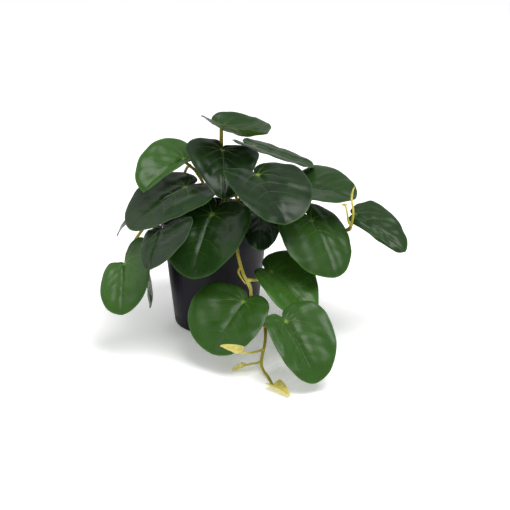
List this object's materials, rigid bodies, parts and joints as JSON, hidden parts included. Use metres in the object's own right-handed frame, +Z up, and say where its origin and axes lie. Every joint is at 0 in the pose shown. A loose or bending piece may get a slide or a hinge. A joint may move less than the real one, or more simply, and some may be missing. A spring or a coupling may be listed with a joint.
{
  "type": "potted trailing pothos",
  "caption": "Small trailing house plant: heart-shaped green leaves on olive stems that spill over a black tapered nursery pot, with a lumpy soil top.",
  "frame": {"origin": "centre of the pot's foot, on the surface the pot stands on", "axes": "+Z up along the pot's axis, -Y toward the viewer and the longest trailing vine, +X to the viewer's right"},
  "size_m": [0.2508, 0.2457, 0.1851],
  "materials": {
    "pot_plastic": "injection-moulded near-black plastic, satin, faintly purple",
    "potting_soil": "dark crumbly peat potting mix, fully matte",
    "leaf_green": "waxy dark green blade with a soft sheen and pale veins",
    "stem_olive": "olive to straw yellow stem skin, satin"
  },
  "bodies": {
    "root": {"leaf_back_left": "leaf_green", "leaf_back_low": "leaf_green", "leaf_back_mid": "leaf_green", "leaf_back_right": "leaf_green", "leaf_back_side": "leaf_green", "leaf_back_under": "leaf_green", "leaf_back_upper": "leaf_green", "leaf_centre": "leaf_green", "leaf_crown": "leaf_green", "leaf_edge_left": "leaf_green", "leaf_far_right": "leaf_green", "leaf_front": "leaf_green", "leaf_hanging_left": "leaf_green", "leaf_left_back": "leaf_green", "leaf_left_front": "leaf_green", "leaf_left_top": "leaf_green", "leaf_low_left": "leaf_green", "leaf_low_mid": "leaf_green", "leaf_low_right": "leaf_green", "leaf_lowest": "leaf_green", "leaf_mid_top": "leaf_green", "leaf_right_low": "leaf_green", "leaf_right_mid": "leaf_green", "leaf_right_top": "leaf_green", "leaf_under": "leaf_green", "pot": "pot_plastic", "soil": "potting_soil", "stem_back": "stem_olive", "stem_centre": "stem_olive", "stem_crown": "stem_olive", "stem_front": "stem_olive", "stem_left": "stem_olive", "stem_right": "stem_olive", "stem_upper_left": "stem_olive"}
  },
  "joints": []
}
